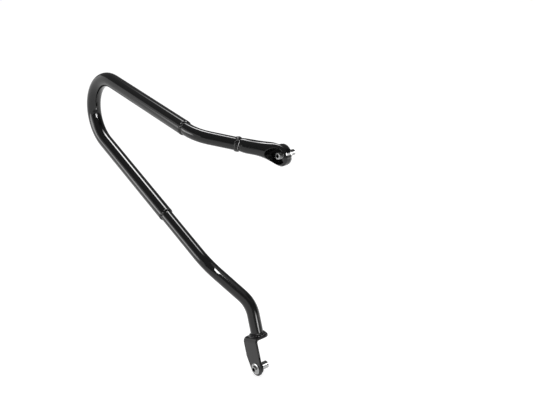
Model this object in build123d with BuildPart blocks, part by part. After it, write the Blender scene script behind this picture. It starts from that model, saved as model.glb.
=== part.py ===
from build123d import *
from math import acos, atan2, cos, hypot, radians, sin, tan
import os

os.makedirs("parts", exist_ok=True)

# Pannier side frame for the right-hand side of a motorcycle.
# +X points to the front of the motorcycle, +Y inboard and +Z up. The origin is on the
# upper stud's axis, at the washer face that bears against the motorcycle.

# Tubes, in millimetres
rail_diameter = 22.2
rail_wall = 1.5
rail_lip = 0.6
sleeve_clearance = 0.075
arm_wall = 2.0
bend_radius = 55.0
spigot_depth = 32.0

# Where the tubes run, measured from the origin, in millimetres and degrees
hoop_stand_out = 83.0
hoop_centre_back = 313.4
hoop_centre_rise = 10.9
upper_bend_back = 92.9
upper_bend_rise = 23.1
upper_rail_gap = 6.5
lower_bend_back = 74.8
lower_bend_drop = 168.1
lower_rail_gap = 91.8
leg_bend_back = 31.3
leg_bend_drop = 229.8
leg_stand_out = 36.8
leg_length = 48.6
leg_lean = 17.0

# Upper socket: a forged eye on a slanted, tapered neck
socket_length = 65.0
socket_plug_depth = 14.0
socket_plug_clearance = 0.1
socket_land = 5.0
neck_length = 38.0
neck_diameter = 23.0
flare_diameter = 27.6
flare_rise = 0.6
neck_aim_rise = 1.5
eye_diameter = 31.2
eye_depth = 7.0
eye_floor = 4.5
eye_edge = 0.8
counterbore_diameter = 25.0
mouth_edge = 0.6

# Upper stud and its washer
stud_diameter = 10.0
stud_head_proud = 7.0
stud_chamfer = 0.9
stud_key_width = 5.0
stud_key_depth = 4.5
pin_diameter = 8.5
pin_reach = 17.0
washer_diameter = 30.0
washer_thickness = 2.5
washer_edge = 0.4
stud_hole_clearance = 0.25
thread_clearance = 0.05

# Lower bracket: a strip folded once, with a lobe that steps forward to the bolt
bracket_thickness = 4.0
bracket_width = 29.0
bracket_inner_bend = 3.0
bracket_straight = 28.7
bracket_edge = 0.6
tab_outboard = 17.2
tab_inboard = 14.0
tab_corner = 12.0
lobe_radius = 11.3
lobe_forward = 2.1
lobe_drop = 47.0

# Lower bolt and the round nut that it is screwed through
bolt_diameter = 11.5
bolt_hole_clearance = 0.25
bolt_head_diameter = 17.0
bolt_head_height = 4.2
bolt_head_rim = 0.8
bolt_crown_diameter = 9.5
bolt_dome_bulge = 0.5
bolt_key_width = 6.0
bolt_key_depth = 3.0
bolt_end_proud = 13.5
bolt_chamfer = 0.9
nut_diameter = 18.6
nut_height = 4.0
nut_edge = 0.8

# Weld beads
sleeve_weld_leg = 3.5
sleeve_weld_crown = 0.35
collar_weld_width = 7.5
collar_weld_crown = 1.2
leg_weld_leg = 4.0
leg_weld_crown = 0.5

# Lengths closer than this count as the same where edges are picked, in millimetres
pick_tolerance = 0.05

# Sizes that follow from the ones above
rail_radius = rail_diameter / 2
arm_radius = rail_radius - rail_wall - sleeve_clearance
arm_bore_radius = arm_radius - arm_wall
eye_radius = eye_diameter / 2
stud_radius = stud_diameter / 2
bolt_radius = bolt_diameter / 2
hoop_plane = Plane.XZ.offset(hoop_stand_out)
inboard = Vector(0, 1, 0)


def tangent_point(centre, radius, outside, turn):
    """Point where the line from outside touches a circle; turn is 1 or -1."""
    reach = outside - centre
    swing = atan2(reach.Y, reach.X) + turn * acos(radius / reach.length)
    return centre + Vector(cos(swing), sin(swing)) * radius


def bend_setback(before, corner, after):
    """Length that a bend takes from each of the two runs that meet at corner."""
    turn = radians((corner - before).get_angle(after - corner))
    return bend_radius * tan(turn / 2)


def same_length(one, other):
    """Whether two lengths are equal, for picking edges."""
    return abs(one - other) < pick_tolerance


def in_hoop_plane(point):
    """Point of the hoop's own sketch plane, as a point in space."""
    return hoop_plane.from_local_coords(point)


def turning_plane(origin, axis, radial):
    """Sketch plane for a turned shape: x is the radius and y runs along the axis."""
    return Plane(origin=origin, x_dir=radial, z_dir=radial.cross(axis))


# Hoop layout in its own plane, where x is forward and y is up
hoop_centre = Vector(-hoop_centre_back, hoop_centre_rise)
upper_bend_flat = Vector(-upper_bend_back, upper_bend_rise)
lower_bend_flat = Vector(-lower_bend_back, -lower_bend_drop)
upper_tangent = tangent_point(hoop_centre, bend_radius, upper_bend_flat, 1)
lower_tangent = tangent_point(hoop_centre, bend_radius, lower_bend_flat, -1)
upper_run = (upper_tangent - upper_bend_flat).normalized()
lower_run = (lower_tangent - lower_bend_flat).normalized()
hoop_apex = hoop_centre + (upper_run + lower_run).normalized() * bend_radius

# Corner points of the two arms in space
upper_bend = in_hoop_plane(upper_bend_flat)
lower_bend = in_hoop_plane(lower_bend_flat)
neck_aim = Vector(0, -washer_thickness, neck_aim_rise)
neck_direction = (neck_aim - upper_bend).normalized()
socket_root = neck_aim - neck_direction * socket_length
leg_bend = Vector(-leg_bend_back, -leg_stand_out, -leg_bend_drop)
leg_direction = Vector(sin(radians(leg_lean)), 0, -cos(radians(leg_lean)))
leg_across = Vector(cos(radians(leg_lean)), 0, sin(radians(leg_lean)))
leg_end = leg_bend + leg_direction * leg_length

# Where the rail ends over each arm, and where each arm ends inside the rail
upper_setback = bend_setback(in_hoop_plane(upper_tangent), upper_bend, socket_root)
lower_setback = bend_setback(in_hoop_plane(lower_tangent), lower_bend, leg_bend)
upper_rail_end = upper_bend_flat + upper_run * (upper_setback + upper_rail_gap)
lower_rail_end = lower_bend_flat + lower_run * (lower_setback + lower_rail_gap)
upper_spigot_end = in_hoop_plane(upper_rail_end + upper_run * spigot_depth)
lower_spigot_end = in_hoop_plane(lower_rail_end + lower_run * spigot_depth)

# Main rail: one tube bent into a hoop, with its cut ends rounded over
with BuildPart() as hoop_tube:
    with BuildLine() as hoop_path:
        Line(in_hoop_plane(upper_rail_end), in_hoop_plane(upper_tangent))
        ThreePointArc(*(in_hoop_plane(p) for p in (upper_tangent, hoop_apex, lower_tangent)))
        Line(in_hoop_plane(lower_tangent), in_hoop_plane(lower_rail_end))
    with BuildSketch(Plane(origin=hoop_path.line @ 0, z_dir=hoop_path.line % 0)):
        Circle(rail_radius)
        Circle(rail_radius - rail_wall, mode=Mode.SUBTRACT)
    sweep(path=hoop_path.line)
    rail_cuts = hoop_tube.faces().filter_by(GeomType.PLANE)
    fillet([edge for cut in rail_cuts for edge in cut.outer_wire().edges()], radius=rail_lip)

# Upper arm: telescoped into the rail, then bent inboard towards the socket
with BuildPart() as upper_arm_tube:
    with BuildLine() as upper_arm_path:
        FilletPolyline(upper_spigot_end, upper_bend, socket_root, radius=bend_radius)
    with BuildSketch(Plane(origin=upper_arm_path.line @ 0, z_dir=upper_arm_path.line % 0)):
        Circle(arm_radius)
        Circle(arm_bore_radius, mode=Mode.SUBTRACT)
    sweep(path=upper_arm_path.line)

# Lower arm: telescoped into the rail, bent inboard and then down into the leg
with BuildPart() as lower_arm_tube:
    with BuildLine() as lower_arm_path:
        FilletPolyline(lower_spigot_end, lower_bend, leg_bend, leg_end, radius=bend_radius)
    with BuildSketch(Plane(origin=lower_arm_path.line @ 0, z_dir=lower_arm_path.line % 0)):
        Circle(arm_radius)
        Circle(arm_bore_radius, mode=Mode.SUBTRACT)
    sweep(path=lower_arm_path.line)

# Upper socket: tapered neck, eye, counterbore and the plug inside the arm
level_across = neck_direction.cross(Vector(0, 0, 1)).normalized()
neck_plane = Plane(origin=socket_root, x_dir=level_across, z_dir=neck_direction)
seat_plane = Plane.XZ.offset(washer_thickness)
floor_plane = Plane.XZ.offset(washer_thickness + eye_floor)
face_plane = Plane(origin=-inboard * (washer_thickness + eye_depth), x_dir=(1, 0, 0), z_dir=inboard)
neck_end_plane = neck_plane.offset(neck_length)
flare_direction = (neck_direction + inboard).normalized()
flare_plane = Plane(
    origin=(neck_end_plane.origin + face_plane.origin) / 2 + Vector(0, 0, flare_rise),
    x_dir=flare_direction.cross(Vector(0, 0, 1)),
    z_dir=flare_direction,
)
with BuildPart() as upper_socket:
    with BuildSketch(neck_plane):
        Circle(arm_radius)
    extrude(amount=socket_land)
    # one skin: the neck tapers, then turns and flares into the eye
    with BuildSketch(neck_plane.offset(socket_land)):
        Circle(arm_radius)
    with BuildSketch(neck_plane.offset((socket_land + neck_length) / 2)):
        Circle((arm_radius + neck_diameter / 2) / 2)
    with BuildSketch(neck_end_plane):
        Circle(neck_diameter / 2)
    with BuildSketch(flare_plane):
        Circle(flare_diameter / 2)
    with BuildSketch(face_plane):
        Circle(eye_radius)
    loft()
    with BuildSketch(face_plane):
        Circle(eye_radius)
    extrude(amount=eye_depth)
    fillet(upper_socket.edges().filter_by(GeomType.CIRCLE).sort_by(Axis.Y)[-1], radius=eye_edge)
    # counterbore round the stud's outboard end, and the stud's threaded hole
    with BuildSketch(floor_plane):
        Circle(counterbore_diameter / 2)
    extrude(amount=socket_length, mode=Mode.SUBTRACT)
    mouth = upper_socket.edges(Select.LAST).filter_by(GeomType.BSPLINE).filter_by(
        lambda edge: same_length(hypot((edge @ 0.5).X, (edge @ 0.5).Z), counterbore_diameter / 2)
    )
    chamfer(mouth, length=mouth_edge)
    with BuildSketch(seat_plane):
        Circle(stud_radius + thread_clearance)
    extrude(amount=eye_floor, mode=Mode.SUBTRACT)
    with BuildSketch(neck_plane):
        Circle(arm_bore_radius - socket_plug_clearance)
    extrude(amount=-socket_plug_depth)

# Upper stud: threaded through the eye, with a key socket outboard and a plain pin inboard.
# The pin is thinner than the thread, so that it goes through the threaded hole.
stud_outer_end = washer_thickness + eye_floor + stud_head_proud
with BuildPart() as upper_stud:
    with BuildSketch(Plane.XZ.offset(stud_outer_end)):
        Circle(stud_radius)
    extrude(amount=-stud_outer_end)
    with BuildSketch(Plane.XZ):
        Circle(pin_diameter / 2)
    extrude(amount=-pin_reach)
    stud_rims = upper_stud.edges().filter_by(GeomType.CIRCLE).group_by(Axis.Y)
    chamfer(stud_rims[0] + stud_rims[-1], length=stud_chamfer)
    with BuildSketch(Plane.XZ.offset(stud_outer_end)):
        RegularPolygon(radius=stud_key_width / 2, side_count=6, major_radius=False)
    extrude(amount=-stud_key_depth, mode=Mode.SUBTRACT)

# Large plain washer between the eye and the motorcycle
with BuildPart() as upper_washer:
    with BuildSketch(Plane.XZ):
        Circle(washer_diameter / 2)
        Circle(stud_radius + stud_hole_clearance, mode=Mode.SUBTRACT)
    extrude(amount=washer_thickness)
    washer_rims = upper_washer.edges().filter_by(GeomType.CIRCLE).group_by(SortBy.RADIUS)[-1]
    chamfer(washer_rims, length=washer_edge)

# Lower bracket: a tab under the leg, folded down along its outboard edge.
# In both sketch planes y runs down along the leg.
fold_line_depth = bracket_thickness / 2
plate_line = fold_line_depth - tab_outboard
fold_plane = Plane(origin=leg_end, x_dir=inboard, z_dir=-leg_across)
plate_plane = Plane(origin=leg_end - inboard * tab_outboard, x_dir=leg_across, z_dir=inboard)
with BuildPart() as lower_bracket:
    with BuildSketch(fold_plane):
        with BuildLine():
            FilletPolyline(
                (tab_inboard, fold_line_depth),
                (plate_line, fold_line_depth),
                (plate_line, bracket_straight),
                radius=bracket_inner_bend + fold_line_depth,
            )
        trace(line_width=bracket_thickness)
    extrude(amount=bracket_width / 2, both=True)
    tab_edges = lower_bracket.edges().filter_by(Axis(leg_end, leg_direction))
    fillet(tab_edges.group_by(Axis.Y)[-1], radius=tab_corner)
    with BuildSketch(plate_plane):
        with Locations((0, bracket_straight - bracket_thickness / 2)):
            Rectangle(bracket_width, bracket_thickness)
        with Locations((lobe_forward, lobe_drop)):
            Circle(lobe_radius)
        make_hull()
    extrude(amount=bracket_thickness)
    # the strip's outline is broken all round; its fold lines and the edges across its thickness aren't
    chamfer(
        lower_bracket.edges().filter_by(
            lambda edge: not same_length(edge.length, bracket_width)
            and not same_length(edge.length, bracket_thickness)
        ),
        length=bracket_edge,
    )
    with BuildSketch(plate_plane):
        with Locations((lobe_forward, lobe_drop)):
            Circle(bolt_radius + bolt_hole_clearance)
    extrude(amount=bracket_thickness, mode=Mode.SUBTRACT)

# Lower bolt, from its head outside the bracket to its plain end inboard of the nut
bolt_seat = plate_plane.from_local_coords((lobe_forward, lobe_drop))
bolt_turning = turning_plane(bolt_seat, inboard, leg_across)
bolt_axis = Axis(bolt_seat, inboard)
bolt_reach = bracket_thickness + nut_height + bolt_end_proud
with BuildPart() as lower_bolt:
    with BuildSketch(bolt_turning):
        with BuildLine():
            dome = SagittaArc(
                (bolt_head_diameter / 2, -bolt_head_rim),
                (bolt_crown_diameter / 2, -bolt_head_height),
                -bolt_dome_bulge,
            )
            Polyline(
                dome @ 1,
                (0, -bolt_head_height),
                (0, bolt_reach),
                (bolt_radius - bolt_chamfer, bolt_reach),
                (bolt_radius, bolt_reach - bolt_chamfer),
                (bolt_radius, 0),
                (bolt_head_diameter / 2, 0),
                dome @ 0,
            )
        make_face()
    revolve(axis=bolt_axis)
    with BuildSketch(Plane(origin=bolt_seat - inboard * bolt_head_height, z_dir=inboard)):
        RegularPolygon(radius=bolt_key_width / 2, side_count=6, major_radius=False)
    extrude(amount=bolt_key_depth, mode=Mode.SUBTRACT)

# Round nut, welded to the bracket's inboard face
nut_seat = bolt_seat + inboard * bracket_thickness
with BuildPart() as lower_nut:
    with BuildSketch(Plane(origin=nut_seat, z_dir=inboard)):
        Circle(nut_diameter / 2)
        Circle(bolt_radius + thread_clearance, mode=Mode.SUBTRACT)
    extrude(amount=nut_height)
    nut_rims = lower_nut.edges().filter_by(GeomType.CIRCLE).group_by(SortBy.RADIUS)[-1]
    chamfer(nut_rims.sort_by(Axis.Y)[-1], length=nut_edge)

# Sleeve welds: a bead in the step where each arm comes out of the rail
sleeve_welds = {}
for side, end, run in (("upper", upper_rail_end, upper_run), ("lower", lower_rail_end, lower_run)):
    bead_start = in_hoop_plane(end)
    bead_way = bead_start - in_hoop_plane(end + run)
    with BuildPart() as sleeve_weld:
        with BuildSketch(turning_plane(bead_start, bead_way, inboard)):
            with BuildLine():
                foot = Vector(arm_radius, sleeve_weld_leg)
                top = Vector(rail_radius - rail_lip, 0)
                Polyline(foot, (arm_radius, 0), top)
                crown = (foot - top).normalized().rotate(Axis.Z, -90) * sleeve_weld_crown
                ThreePointArc(top, (top + foot) / 2 + crown, foot)
            make_face()
        revolve(axis=Axis(bead_start, bead_way))
    sleeve_welds[f"{side}_sleeve_weld"] = sleeve_weld

# Collar weld: a bead over the joint between the upper arm and the socket
with BuildPart() as socket_weld:
    with BuildSketch(turning_plane(socket_root, neck_direction, level_across)):
        with BuildLine():
            bead_edge = collar_weld_width / 2
            Line((arm_radius, bead_edge), (arm_radius, -bead_edge))
            ThreePointArc(
                (arm_radius, -bead_edge),
                (arm_radius + collar_weld_crown, 0),
                (arm_radius, bead_edge),
            )
        make_face()
    revolve(axis=Axis(socket_root, neck_direction))

# Leg weld: a fillet bead round the leg, trimmed to the bracket's folded face
with BuildPart() as leg_weld:
    with BuildSketch(turning_plane(leg_end, -leg_direction, inboard)):
        with BuildLine():
            leg_toe = Vector(arm_radius, leg_weld_leg)
            tab_toe = Vector(arm_radius + leg_weld_leg, 0)
            crest = Vector(1, 1).normalized() * leg_weld_crown
            ThreePointArc(leg_toe, (leg_toe + tab_toe) / 2 + crest, tab_toe)
            Polyline(
                tab_toe,
                (arm_radius + leg_weld_leg, -fold_line_depth),
                (arm_radius, -fold_line_depth),
                leg_toe,
            )
        make_face()
    revolve(axis=Axis(leg_end, leg_direction))
    add(lower_bracket.part, mode=Mode.SUBTRACT)

pieces = {
    "hoop_tube": hoop_tube,
    "upper_arm_tube": upper_arm_tube,
    "lower_arm_tube": lower_arm_tube,
    **sleeve_welds,
    "upper_socket": upper_socket,
    "socket_weld": socket_weld,
    "upper_stud": upper_stud,
    "upper_washer": upper_washer,
    "lower_bracket": lower_bracket,
    "leg_weld": leg_weld,
    "lower_bolt": lower_bolt,
    "lower_nut": lower_nut,
}
for name, piece in pieces.items():
    piece.part.label = name
    export_step(piece.part, f"parts/{name}.step")
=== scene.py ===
import bmesh
import bpy
import math
import numpy as np
from mathutils import Matrix, Vector


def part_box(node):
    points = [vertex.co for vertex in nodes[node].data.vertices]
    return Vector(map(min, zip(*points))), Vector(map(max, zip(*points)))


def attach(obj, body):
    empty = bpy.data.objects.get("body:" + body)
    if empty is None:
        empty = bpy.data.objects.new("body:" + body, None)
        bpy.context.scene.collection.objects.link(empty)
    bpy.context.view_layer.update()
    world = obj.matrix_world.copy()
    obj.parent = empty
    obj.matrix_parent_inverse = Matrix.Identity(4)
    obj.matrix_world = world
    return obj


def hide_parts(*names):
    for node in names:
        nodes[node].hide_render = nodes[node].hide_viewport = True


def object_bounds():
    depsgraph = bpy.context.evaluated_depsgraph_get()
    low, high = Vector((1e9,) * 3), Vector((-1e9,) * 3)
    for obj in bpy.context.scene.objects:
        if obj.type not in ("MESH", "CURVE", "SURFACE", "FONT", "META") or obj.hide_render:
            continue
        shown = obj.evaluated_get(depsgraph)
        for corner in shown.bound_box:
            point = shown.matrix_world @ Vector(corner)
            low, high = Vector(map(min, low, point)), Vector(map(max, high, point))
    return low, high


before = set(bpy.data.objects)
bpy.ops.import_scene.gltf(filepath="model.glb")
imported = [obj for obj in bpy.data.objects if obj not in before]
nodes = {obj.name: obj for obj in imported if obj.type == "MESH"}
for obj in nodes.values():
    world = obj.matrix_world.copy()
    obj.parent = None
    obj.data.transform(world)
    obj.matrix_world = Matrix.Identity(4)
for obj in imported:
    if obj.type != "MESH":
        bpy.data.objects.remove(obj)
cadBox = [list(corner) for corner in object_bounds()]
mm = 0.001
print("frame loaded:", len(nodes), "solids")


# small helpers

def hexColour(code):
    # sRGB hex to the linear colour that the shaders take
    channels = [int(code[i:i + 2], 16) / 255 for i in (1, 3, 5)]
    linear = [c / 12.92 if c <= 0.04045 else ((c + 0.055) / 1.055) ** 2.4 for c in channels]
    return (*linear, 1.0)


def addNode(tree, kind, inputs=None, **settings):
    node = tree.nodes.new(kind)
    for name, value in settings.items():
        setattr(node, name, value)
    for name, value in (inputs or {}).items():
        if isinstance(value, bpy.types.NodeSocket):
            tree.links.new(value, node.inputs[name])
        else:
            node.inputs[name].default_value = value
    return node


def newMaterial(name):
    material = bpy.data.materials.new(name)
    material.use_nodes = True
    material.node_tree.nodes.clear()
    return material, material.node_tree


def newObject(name, mesh):
    thing = bpy.data.objects.new(name, mesh)
    bpy.context.scene.collection.objects.link(thing)
    return thing


def noiseScale(featureWidth):
    # a noise texture shows about one feature per unit, so its scale is one over the width
    return 1 / (featureWidth * mm)


noiseLow, noiseHigh = 0.3, 0.7  # most of a noise texture's values lie between these


# black powder coat: baked resin on steel, so a deep black with a glassy skin,
# a faint orange peel, and a film that is a touch duller here and there

coatLook = {
    "deep": "#141415",
    "film": "#1a1a1b",
    "filmPatch": 38.0,
    "peelWidth": 2.4,
    "peelHeight": 0.0015,
    "grainWidth": 0.5,
    "roughness": (0.05, 0.10),
    "ior": 1.47,
}


def glossPowderCoat(look):
    material, tree = newMaterial("glossBlackPowderCoat")
    place = addNode(tree, "ShaderNodeTexCoord").outputs["Object"]
    patch = addNode(tree, "ShaderNodeTexNoise",
                    {"Vector": place, "Scale": noiseScale(look["filmPatch"]), "Detail": 3.0})
    # a Mix node's two colours are its sockets 6 and 7, and their blend is output 2
    colour = addNode(tree, "ShaderNodeMix",
                     {"Factor": patch.outputs["Fac"],
                      6: hexColour(look["deep"]), 7: hexColour(look["film"])}, data_type="RGBA")
    grain = addNode(tree, "ShaderNodeTexNoise",
                    {"Vector": place, "Scale": noiseScale(look["grainWidth"]), "Detail": 2.0})
    low, high = look["roughness"]
    rough = addNode(tree, "ShaderNodeMapRange",
                    {"Value": grain.outputs["Fac"], "From Min": noiseLow, "From Max": noiseHigh,
                     "To Min": low, "To Max": high})
    peel = addNode(tree, "ShaderNodeTexNoise",
                   {"Vector": place, "Scale": noiseScale(look["peelWidth"]), "Detail": 1.0})
    bump = addNode(tree, "ShaderNodeBump",
                   {"Height": peel.outputs["Fac"], "Distance": look["peelHeight"] * mm, "Strength": 1.0})
    shader = addNode(tree, "ShaderNodeBsdfPrincipled",
                     {"Base Color": colour.outputs[2], "Roughness": rough.outputs["Result"],
                      "IOR": look["ior"], "Normal": bump.outputs["Normal"]})
    addNode(tree, "ShaderNodeOutputMaterial", {"Surface": shader.outputs["BSDF"]})
    return material


# bright zinc plate on turned steel: a plain silver grey, with fine rings left by the lathe

zincLook = {
    "bright": "#a5a5a4",
    "cool": "#8c8d8e",
    # the next colour is painted shade, laid inside the key sockets
    "socketShade": "#1d1d1e",
    "socketMargin": 1.03,
    "tintPatch": 5.0,
    "ringSpacing": 0.35,
    "ringHeight": 0.0015,
    "roughness": (0.14, 0.26),
}
keySockets = {  # width across flats, depth, bevelled mouth and drilled cone of the two key sockets
    "upper": {"width": 5.0, "depth": 4.5, "mouth": 0.3, "drill": 1.5},
    "lower": {"width": 6.0, "depth": 3.0, "mouth": 0.1, "drill": 1.5},
}


def brightZinc(name, look, facePoint, socket):
    # facePoint is where the axis meets the outboard face
    material, tree = newMaterial(name)
    place = addNode(tree, "ShaderNodeTexCoord").outputs["Object"]
    centred = addNode(tree, "ShaderNodeMapping", {"Vector": place, "Location": [-c for c in facePoint]})
    split = addNode(tree, "ShaderNodeSeparateXYZ", {"Vector": centred.outputs["Vector"]})
    across = addNode(tree, "ShaderNodeCombineXYZ", {"X": split.outputs["X"], "Y": split.outputs["Z"]})
    radius = addNode(tree, "ShaderNodeVectorMath", {0: across.outputs["Vector"]}, operation="LENGTH")
    lathe = addNode(tree, "ShaderNodeCombineXYZ",
                    {"X": radius.outputs["Value"], "Y": split.outputs["Y"]})
    rings = addNode(tree, "ShaderNodeTexNoise",
                    {"Vector": lathe.outputs["Vector"], "Scale": noiseScale(look["ringSpacing"]),
                     "Detail": 2.0})
    tint = addNode(tree, "ShaderNodeTexNoise",
                   {"Vector": place, "Scale": noiseScale(look["tintPatch"]), "Detail": 2.0})
    colour = addNode(tree, "ShaderNodeMix",
                     {"Factor": tint.outputs["Fac"],
                      6: hexColour(look["cool"]), 7: hexColour(look["bright"])}, data_type="RGBA")
    # the inside of the key socket is painted near black: painted shade for the deep recess
    corner = socket["width"] / math.sqrt(3) * look["socketMargin"] * mm
    bottom = (socket["depth"] + socket["drill"]) * mm
    within = addNode(tree, "ShaderNodeMath",
                     {0: radius.outputs["Value"], 1: corner}, operation="LESS_THAN")
    below = addNode(tree, "ShaderNodeMath",
                    {0: split.outputs["Y"], 1: socket["mouth"] * mm}, operation="GREATER_THAN")
    above = addNode(tree, "ShaderNodeMath", {0: split.outputs["Y"], 1: bottom}, operation="LESS_THAN")
    shadeMask = addNode(tree, "ShaderNodeMath",
                     {0: within.outputs[0], 1: below.outputs[0]}, operation="MULTIPLY")
    shadeMask = addNode(tree, "ShaderNodeMath",
                     {0: shadeMask.outputs[0], 1: above.outputs[0]}, operation="MULTIPLY")
    shadedColour = addNode(tree, "ShaderNodeMix",
                     {"Factor": shadeMask.outputs[0],
                      6: colour.outputs[2], 7: hexColour(look["socketShade"])}, data_type="RGBA")
    low, high = look["roughness"]
    rough = addNode(tree, "ShaderNodeMapRange",
                    {"Value": rings.outputs["Fac"], "From Min": noiseLow, "From Max": noiseHigh,
                     "To Min": low, "To Max": high})
    bump = addNode(tree, "ShaderNodeBump",
                   {"Height": rings.outputs["Fac"], "Distance": look["ringHeight"] * mm, "Strength": 1.0})
    shader = addNode(tree, "ShaderNodeBsdfPrincipled",
                     {"Base Color": shadedColour.outputs[2], "Metallic": 1.0,
                      "Roughness": rough.outputs["Result"], "Normal": bump.outputs["Normal"]})
    addNode(tree, "ShaderNodeOutputMaterial", {"Surface": shader.outputs["BSDF"]})
    return material


def outerFace(name):
    # middle of a turned piece's outboard end
    low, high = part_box(name)
    return ((low.x + high.x) / 2, low.y, (low.z + high.z) / 2)


powderCoat = glossPowderCoat(coatLook)
studZinc = brightZinc("brightZincUpper", zincLook, outerFace("upper_stud"), keySockets["upper"])
boltZinc = brightZinc("brightZincLower", zincLook, outerFace("lower_bolt"), keySockets["lower"])
finishes = {"upper_stud": studZinc, "upper_washer": studZinc, "lower_bolt": boltZinc}
for name, node in nodes.items():
    node.data.materials.clear()
    node.data.materials.append(finishes.get(name, powderCoat))
print("materials on the solids")


# weld ripples: each bead was laid as overlapping puddles, which the coat rounds over

rippleLook = {
    "pitch": 2.3,
    "overlap": 1.9,
    "lean": 16.0,
    "unevenness": 0.06,
    "seed": 7,
    "segments": 16,
    "rings": 10,
}


def rippleTree(look):
    tree = bpy.data.node_groups.new("weldRipples", "GeometryNodeTree")
    face = tree.interface
    face.new_socket(name="Geometry", in_out="OUTPUT", socket_type="NodeSocketGeometry")
    for name, kind in (("Ripples", "Int"), ("Ring Radius", "Float"), ("Thickness", "Float"),
                       ("Travel", "Float"), ("Across", "Float"), ("Slope", "Float"), ("Lean", "Float"),
                       ("Smallest", "Float"), ("Largest", "Float"), ("Seed", "Int"),
                       ("Finish", "Material")):
        face.new_socket(name=name, in_out="INPUT", socket_type="NodeSocket" + kind)
    given = addNode(tree, "NodeGroupInput").outputs
    index = addNode(tree, "GeometryNodeInputIndex")
    share = addNode(tree, "ShaderNodeMath",
                    {0: index.outputs[0], 1: given["Ripples"]}, operation="DIVIDE")
    angle = addNode(tree, "ShaderNodeMath", {0: share.outputs[0], 1: math.tau}, operation="MULTIPLY")
    cosine = addNode(tree, "ShaderNodeMath", {0: angle.outputs[0]}, operation="COSINE")
    sine = addNode(tree, "ShaderNodeMath", {0: angle.outputs[0]}, operation="SINE")
    circle = addNode(tree, "ShaderNodeCombineXYZ", {"X": cosine.outputs[0], "Y": sine.outputs[0]})
    spot = addNode(tree, "ShaderNodeVectorMath",
                   {0: circle.outputs[0], "Scale": given["Ring Radius"]}, operation="SCALE")
    spots = addNode(tree, "GeometryNodePoints", {"Count": given["Ripples"], "Position": spot.outputs[0]})
    puddle = addNode(tree, "GeometryNodeMeshUVSphere",
                     {"Segments": look["segments"], "Rings": look["rings"], "Radius": 0.5})
    size = addNode(tree, "ShaderNodeCombineXYZ",
                   {"X": given["Thickness"], "Y": given["Travel"], "Z": given["Across"]})
    tilt = addNode(tree, "ShaderNodeCombineXYZ", {"Z": given["Lean"]})
    puddle = addNode(tree, "GeometryNodeTransform",
                     {"Geometry": puddle.outputs["Mesh"], "Rotation": tilt.outputs[0],
                      "Scale": size.outputs[0]})
    turn = addNode(tree, "ShaderNodeCombineXYZ", {"Y": given["Slope"], "Z": angle.outputs[0]})
    uneven = addNode(tree, "FunctionNodeRandomValue",
                     {2: given["Smallest"], 3: given["Largest"], "Seed": given["Seed"]}, data_type="FLOAT")
    row = addNode(tree, "GeometryNodeInstanceOnPoints",
                  {"Points": spots.outputs[0], "Instance": puddle.outputs[0],
                   "Rotation": turn.outputs[0], "Scale": uneven.outputs[1]})
    whole = addNode(tree, "GeometryNodeRealizeInstances", {"Geometry": row.outputs[0]})
    smooth = addNode(tree, "GeometryNodeSetShadeSmooth", {"Geometry": whole.outputs[0]})
    coated = addNode(tree, "GeometryNodeSetMaterial",
                     {"Geometry": smooth.outputs[0], "Material": given["Finish"]})
    addNode(tree, "NodeGroupOutput", {"Geometry": coated.outputs[0]})
    return tree


def fromTree(name, tree, values):
    piece = newObject(name, bpy.data.meshes.new(name))
    modifier = piece.modifiers.new(name, "NODES")
    modifier.node_group = tree
    for item in tree.interface.items_tree:
        if item.in_out == "INPUT":
            modifier[item.identifier] = values[item.name]
    bpy.context.view_layer.update()
    made = bpy.data.meshes.new_from_object(piece.evaluated_get(bpy.context.evaluated_depsgraph_get()))
    piece.modifiers.clear()
    piece.data = made
    return piece


def ringOf(points, towards):
    # centre and axis of points that lie all round a ring
    points = np.unique(np.round(points, 7), axis=0)
    centre = points.mean(axis=0)
    axis = np.linalg.svd(points - centre, full_matrices=False)[2][2]
    return Vector(centre), Vector(axis if axis @ np.array(towards) > 0 else -axis)


def pointsOf(name):
    return np.array([v.co for v in nodes[name].data.vertices])


def tubeEnd(name, towards, thickness):
    # the rim is a slice of that thickness at the far end
    points = pointsOf(name)
    reach = points @ np.array(towards)
    return ringOf(points[reach > reach.max() - thickness * mm], towards)


def addRipples(name, ring, toes, rise, look, tree):
    # toes are the two edges of the bead's face, each as (distance from the axis, place along it),
    # and rise is how far the ripples stand out of it
    (outA, alongA), (outB, alongB) = toes
    centre, axis = ring
    face = math.hypot(outA - outB, alongA - alongB)
    ringRadius = (outA + outB) / 2
    count = round(math.tau * ringRadius / look["pitch"])
    piece = fromTree(name, tree, {
        "Ripples": count,
        "Ring Radius": ringRadius * mm,
        "Thickness": 2 * rise * mm,
        "Travel": look["pitch"] * look["overlap"] * mm,
        "Across": face * mm,
        "Slope": -math.atan2(outA - outB, alongB - alongA),
        "Lean": math.radians(look["lean"]),
        "Smallest": 1 - look["unevenness"],
        "Largest": 1 + look["unevenness"],
        "Seed": look["seed"],
        "Finish": powderCoat,
    })
    turn = axis.to_track_quat("Z", "X").to_matrix().to_4x4()
    lift = axis * ((alongA + alongB) / 2 * mm)
    piece.data.transform(Matrix.Translation(centre + lift) @ turn)
    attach(piece, "root")
    return piece


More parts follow.
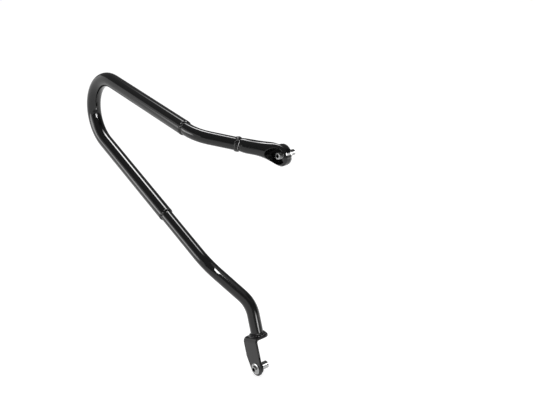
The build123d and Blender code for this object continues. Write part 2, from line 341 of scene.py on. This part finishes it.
beads = {
    "armRadius": 9.525,
    "railRadius": 10.5,
    "sleeveLeg": 3.5,
    "sleeveRise": 0.41,
    "collarWidth": 7.5,
    "collarRise": 1.42,
    "legLeg": 4.0,
    "legRise": 0.72,
    "legLean": 17.0,
    "endSlice": 0.05,
}
ripples = rippleTree(rippleLook)
forward = (1, 0, 0)
downLeg = (math.sin(math.radians(beads["legLean"])), 0, -math.cos(math.radians(beads["legLean"])))
armRadius = beads["armRadius"]
halfSleeve, halfCollar = beads["sleeveLeg"] / 2, beads["collarWidth"] / 2
for side in ("upper", "lower"):
    addRipples(side + "SleeveRipples", ringOf(pointsOf(side + "_sleeve_weld"), forward),
               ((beads["railRadius"], -halfSleeve), (armRadius, halfSleeve)), beads["sleeveRise"],
               rippleLook, ripples)
addRipples("collarRipples", ringOf(pointsOf("socket_weld"), forward),
           ((armRadius, -halfCollar), (armRadius, halfCollar)), beads["collarRise"], rippleLook, ripples)
legFoot, legWay = tubeEnd("lower_arm_tube", downLeg, beads["endSlice"])
addRipples("legRipples", (legFoot, -legWay),
           ((armRadius + beads["legLeg"], 0), (armRadius, beads["legLeg"])), beads["legRise"],
           rippleLook, ripples)
print("weld ripples laid")


# upper stud: turned bar with a cut thread outboard, a key socket in its face and a plain pin inboard

studLook = {
    "pitch": 1.5,
    "threadDepth": 0.85,
    "crest": 0.2,
    "root": 0.2,
    "threadEnd": 2.5,
    "chamfer": 0.5,
    "pinDiameter": 8.5,
    "pinEdge": 0.9,
    "shoulderEdge": 0.3,
    "keyMouth": 0.25,
    "keyCone": 0.9,
    "sides": 72,
    "rowsPerTurn": 10,
    "sharpAngle": 32.0,
}


def threadedStud(look, socket):
    low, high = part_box("upper_stud")
    radius, faceAt, tipAt = high.x / mm, low.y / mm, high.y / mm
    pinRadius = look["pinDiameter"] / 2
    flat = socket["width"] / 2
    sides = look["sides"]
    turns = [math.tau * i / sides for i in range(sides)]

    def hexagon(size, turn):
        return size / math.cos(turn % (math.pi / 3) - math.pi / 6)

    def groove(along, turn):
        # depth of the thread's groove: flat crest, straight flank, flat root
        phase = abs((along / look["pitch"] - turn / math.tau) % 1 * 2 - 1)
        slope = (phase - look["crest"]) / (1 - look["crest"] - look["root"])
        return look["threadDepth"] * min(max(slope, 0), 1)

    rows = []  # each row is (place along the axis, radius at each turn)
    bottom = faceAt + socket["depth"]
    rows.append((bottom, [hexagon(flat, t) for t in turns]))
    rows.append((faceAt + look["keyMouth"], [hexagon(flat, t) for t in turns]))
    rows.append((faceAt, [hexagon(flat, t) + look["keyMouth"] for t in turns]))
    rows.append((faceAt, [radius - look["chamfer"]] * sides))
    threadStart, threadStop = faceAt + look["chamfer"] / 4, -look["threadEnd"]
    count = round((threadStop - threadStart) / look["pitch"] * look["rowsPerTurn"])
    for i in range(count + 1):
        along = threadStart + (threadStop - threadStart) * i / count
        cone = radius - look["chamfer"] + (along - faceAt)
        fade = min(1, (threadStop - along) / look["pitch"])
        rows.append((along, [min(cone, radius - fade * groove(along, t)) for t in turns]))
    rows.append((-look["shoulderEdge"], [radius] * sides))
    rows.append((0.0, [radius - look["shoulderEdge"]] * sides))
    rows.append((0.0, [pinRadius] * sides))
    rows.append((tipAt - look["pinEdge"], [pinRadius] * sides))
    rows.append((tipAt, [pinRadius - look["pinEdge"]] * sides))

    built = bmesh.new()
    rings = []
    for along, reach in rows:
        rings.append([built.verts.new((r * math.cos(t) * mm, along * mm, r * math.sin(t) * mm))
                      for r, t in zip(reach, turns)])
    for one, other in zip(rings, rings[1:]):
        for i in range(sides):
            j = (i + 1) % sides
            built.faces.new((one[i], one[j], other[j], other[i]))
    drill = built.verts.new((0, (bottom + look["keyCone"]) * mm, 0))
    tip = built.verts.new((0, tipAt * mm, 0))
    for i in range(sides):
        j = (i + 1) % sides
        built.faces.new((rings[0][j], rings[0][i], drill))
        built.faces.new((rings[-1][i], rings[-1][j], tip))
    bmesh.ops.recalc_face_normals(built, faces=built.faces)
    mesh = bpy.data.meshes.new("threadedStud")
    built.to_mesh(mesh)
    built.free()
    mesh.shade_smooth()
    mesh.set_sharp_from_angle(angle=math.radians(look["sharpAngle"]))
    mesh.materials.append(studZinc)
    return newObject("threadedStud", mesh)


stud = threadedStud(studLook, keySockets["upper"])
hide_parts("upper_stud")
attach(stud, "root")
print("stud threaded")


# studio: white paper below, a dim canopy above, and soft panels of light that the gloss shows

studio = {
    "floorDrop": 0.3,
    "floorWidth": 30.0,
    "floorPaper": "#a2a2a2",
    "floorGlow": 0.86,
    "ambient": 0.4,
    "canopy": 0.17,
    "canopyRadius": 9.0,
    "canopyFoot": 0.1,
    "canopySides": 48,
    "canopyRows": 24,
    "edgeFade": 2.2,
    "spillLift": 2.0,
    "matLift": 1.0,
    "lampHeight": 2.2,
    "lampWidth": 1.6,
    "lampRadiance": 3.4,
}
forwardLeft = Vector((0.7615, -0.648, 0))
rightAcross = Vector((-0.6561, 0.7547, 0))
backAcross = Vector((-0.6313, 0.7755, 0))
backUp = Vector((-0.4575, -0.412, 0.788))
floorLevel = cadBox[0][2] - studio["floorDrop"] * mm
spillLevel = floorLevel + studio["spillLift"] * mm
matLevel = floorLevel + studio["matLift"] * mm
fixings = ("upper_socket", "upper_washer", "threadedStud", "lower_bolt")
# each panel has its middle, its two directions, its size, the softness of its edges and its brightness;
# some light only the pieces that show them, and the dark mat greys the paper that the tubes reflect
panels = {
    "topPanel": {"at": (-0.526, 0.312, 1.12), "across": (1, 0, 0), "up": (0, 1, 0),
                 "size": (0.562, 0.17), "soft": (0.204, 0.058), "level": 33.0},
    "leftPanel": {"at": (-1.117, -1.966, -0.008), "across": forwardLeft, "up": (0, 0, 1),
                  "size": (1.41, 0.644), "soft": (0.10, 0.01), "level": 5.9},
    "leftWall": {"at": (-2.6, -3.05, 0.75), "across": forwardLeft, "up": (0, 0, 1),
                 "size": (10.2, 2.16), "soft": (0.15, 0.15), "level": 1.1},
    "rightPanel": {"at": (0.580, -0.145, 0.172), "across": rightAcross, "up": (0, 0, 1),
                   "size": (0.450, 0.248), "soft": (0.030, 0.004), "level": 37.0},
    "lowPanel": {"at": (0.512, 0.008, -0.242), "across": rightAcross, "up": (0, 0, 1),
                 "size": (0.226, 0.046), "soft": (0.020, 0.020), "level": 15.0},
    "backPanel": {"at": (0.533, 0.434, 0.126), "across": backAcross, "up": (0, 0, 1),
                  "size": (0.30, 0.18), "soft": (0.03, 0.03), "level": 14.0, "lights": fixings},
    "highPanel": {"at": (1.73, 1.54, 1.64), "across": backAcross, "up": backUp,
                  "size": (2.4, 2.0), "soft": (0.30, 0.20), "level": 0.8, "lights": ("lower_arm_tube",)},
    "floorSpill": {"at": (0.66, 0.60, spillLevel), "across": (1, 0, 0), "up": (0, 1, 0),
                   "size": (0.30, 0.30), "soft": (0.07, 0.07), "level": 3.2, "lights": fixings},
    "lowSpill": {"at": (0.17, 0.09, spillLevel), "across": (1, 0, 0), "up": (0, 1, 0),
                 "size": (0.30, 0.18), "soft": (0.03, 0.03), "level": 3.5, "lights": fixings},
    "darkMat": {"at": (2.93, -1.0, matLevel), "across": (1, 0, 0), "up": (0, 1, 0),
                "size": (4.0, 3.8), "soft": (0.06, 0.06), "level": 0.42},
}


def seenOnly(thing):
    # a panel shows in gloss and metal, and the lamp does the lighting
    thing.visible_camera = False
    thing.visible_diffuse = False
    thing.visible_shadow = False


def addPanel(name, panel, edgeFade):
    # each edge fades out over edgeFade times its softness, to both sides of the panel's size
    across, up = Vector(panel["across"]).normalized(), Vector(panel["up"]).normalized()
    turn = Matrix((across, up, across.cross(up))).transposed().to_4x4()
    halves = [side / 2 for side in panel["size"]]
    reaches = [edgeFade * soft for soft in panel["soft"]]
    x, y = (half + reach for half, reach in zip(halves, reaches))
    mesh = bpy.data.meshes.new(name)
    mesh.from_pydata([(-x, -y, 0), (x, -y, 0), (x, y, 0), (-x, y, 0)], [], [(0, 1, 2, 3)])
    thing = newObject(name, mesh)
    thing.matrix_world = Matrix.Translation(panel["at"]) @ turn
    material, tree = newMaterial(name + "Glow")
    place = addNode(tree, "ShaderNodeTexCoord").outputs["Object"]
    split = addNode(tree, "ShaderNodeSeparateXYZ", {"Vector": place})
    fades = []
    for half, reach, axis in zip(halves, reaches, ("X", "Y")):
        away = addNode(tree, "ShaderNodeMath", {0: split.outputs[axis]}, operation="ABSOLUTE")
        fade = addNode(tree, "ShaderNodeMapRange",
                       {"Value": away.outputs[0], "From Min": half + reach, "From Max": half - reach},
                       interpolation_type="SMOOTHSTEP")
        fades.append(fade.outputs[0])
    cover = addNode(tree, "ShaderNodeMath", {0: fades[0], 1: fades[1]}, operation="MULTIPLY")
    glow = addNode(tree, "ShaderNodeEmission", {"Strength": panel["level"]})
    clear = addNode(tree, "ShaderNodeBsdfTransparent")
    edged = addNode(tree, "ShaderNodeMixShader",
                    {0: cover.outputs[0], 1: clear.outputs[0], 2: glow.outputs[0]})
    addNode(tree, "ShaderNodeOutputMaterial", {"Surface": edged.outputs[0]})
    mesh.materials.append(material)
    seenOnly(thing)
    if "lights" in panel:
        lit = bpy.data.collections.new(name + "Lights")
        for piece in panel["lights"]:
            lit.objects.link(nodes[piece] if piece in nodes else bpy.data.objects[piece])
        thing.light_linking.receiver_collection = lit


def addCanopy(look):
    built = bmesh.new()
    bmesh.ops.create_uvsphere(built, u_segments=look["canopySides"], v_segments=look["canopyRows"],
                              radius=look["canopyRadius"])
    low = [v for v in built.verts if v.co.z < -look["canopyFoot"]]
    bmesh.ops.delete(built, geom=low, context="VERTS")
    bmesh.ops.translate(built, verts=built.verts, vec=(0, 0, floorLevel))
    mesh = bpy.data.meshes.new("canopy")
    built.to_mesh(mesh)
    built.free()
    canopy = newObject("canopy", mesh)
    material, tree = newMaterial("dimCanopy")
    glow = addNode(tree, "ShaderNodeEmission", {"Strength": look["canopy"]})
    addNode(tree, "ShaderNodeOutputMaterial", {"Surface": glow.outputs[0]})
    mesh.materials.append(material)
    seenOnly(canopy)


def addLamp(look):
    lamp = bpy.data.lights.new("softLamp", "AREA")
    lamp.shape = "SQUARE"
    lamp.size = look["lampWidth"]
    lamp.energy = look["lampRadiance"] * math.pi * look["lampWidth"] ** 2
    thing = bpy.data.objects.new("softLamp", lamp)
    bpy.context.scene.collection.objects.link(thing)
    middle = (Vector(cadBox[0]) + Vector(cadBox[1])) / 2
    thing.location = (middle.x, middle.y, look["lampHeight"])
    thing.visible_camera = False
    thing.visible_glossy = False


def shownRays(tree):
    # 1 where the camera, gloss or glass looks, 0 where light only bounces
    rays = addNode(tree, "ShaderNodeLightPath").outputs
    seen = addNode(tree, "ShaderNodeMath",
                   {0: rays["Is Camera Ray"], 1: rays["Is Glossy Ray"]}, operation="MAXIMUM")
    return addNode(tree, "ShaderNodeMath",
                   {0: seen.outputs[0], 1: rays["Is Transmission Ray"]}, operation="MAXIMUM").outputs[0]


def whiteFloor(look, height):
    half = look["floorWidth"] / 2
    mesh = bpy.data.meshes.new("floor")
    corners = [(x, y, height) for x, y in ((-half, -half), (half, -half), (half, half), (-half, half))]
    mesh.from_pydata(corners, [], [(0, 1, 2, 3)])
    floor = newObject("floor", mesh)
    material, tree = newMaterial("paperSweep")
    glow = addNode(tree, "ShaderNodeMath",
                   {0: shownRays(tree), 1: look["floorGlow"]}, operation="MULTIPLY")
    paper = addNode(tree, "ShaderNodeBsdfDiffuse", {"Color": hexColour(look["floorPaper"])})
    shine = addNode(tree, "ShaderNodeEmission", {"Strength": glow.outputs[0]})
    both = addNode(tree, "ShaderNodeAddShader", {0: paper.outputs[0], 1: shine.outputs[0]})
    addNode(tree, "ShaderNodeOutputMaterial", {"Surface": both.outputs[0]})
    mesh.materials.append(material)


def paleWorld(look):
    world = bpy.data.worlds.new("studio")
    bpy.context.scene.world = world
    world.use_nodes = True
    tree = world.node_tree
    tree.nodes.clear()
    strength = addNode(tree, "ShaderNodeMapRange",
                       {"Value": shownRays(tree), "To Min": look["ambient"], "To Max": 1.0})
    background = addNode(tree, "ShaderNodeBackground",
                         {"Color": hexColour("#ffffff"), "Strength": strength.outputs[0]})
    addNode(tree, "ShaderNodeOutputWorld", {"Surface": background.outputs[0]})


whiteFloor(studio, floorLevel)
paleWorld(studio)
addCanopy(studio)
addLamp(studio)
for panelName, panel in panels.items():
    addPanel(panelName, panel, studio["edgeFade"])
print("studio lit")


# camera at the photograph's place and viewing angle

view = {
    "at": (0.8114, -0.7499, 0.3356),
    "azimuth": 48.539,
    "elevation": 20.628,
    "focalPixels": 833.10,
    "imageWidth": 533,
    "offsetPixels": 0.5,
    "sensorWidth": 36.0,
    "nearClip": 0.01,
}


def addCamera(look):
    azimuth, elevation = math.radians(look["azimuth"]), math.radians(look["elevation"])
    ahead = Vector((-math.sin(azimuth) * math.cos(elevation),
                    math.cos(azimuth) * math.cos(elevation),
                    -math.sin(elevation)))
    camera = bpy.data.cameras.new("camera")
    camera.sensor_width = look["sensorWidth"]
    camera.lens = look["focalPixels"] / look["imageWidth"] * camera.sensor_width
    camera.shift_x = -look["offsetPixels"] / look["imageWidth"]
    camera.shift_y = look["offsetPixels"] / look["imageWidth"]
    camera.clip_start = look["nearClip"]
    cameraObject = bpy.data.objects.new("camera", camera)
    bpy.context.scene.collection.objects.link(cameraObject)
    cameraObject.location = look["at"]
    cameraObject.rotation_euler = ahead.to_track_quat("-Z", "Y").to_euler()
    bpy.context.scene.camera = cameraObject


addCamera(view)
bpy.context.scene.view_settings.view_transform = "Standard"
print("camera set")
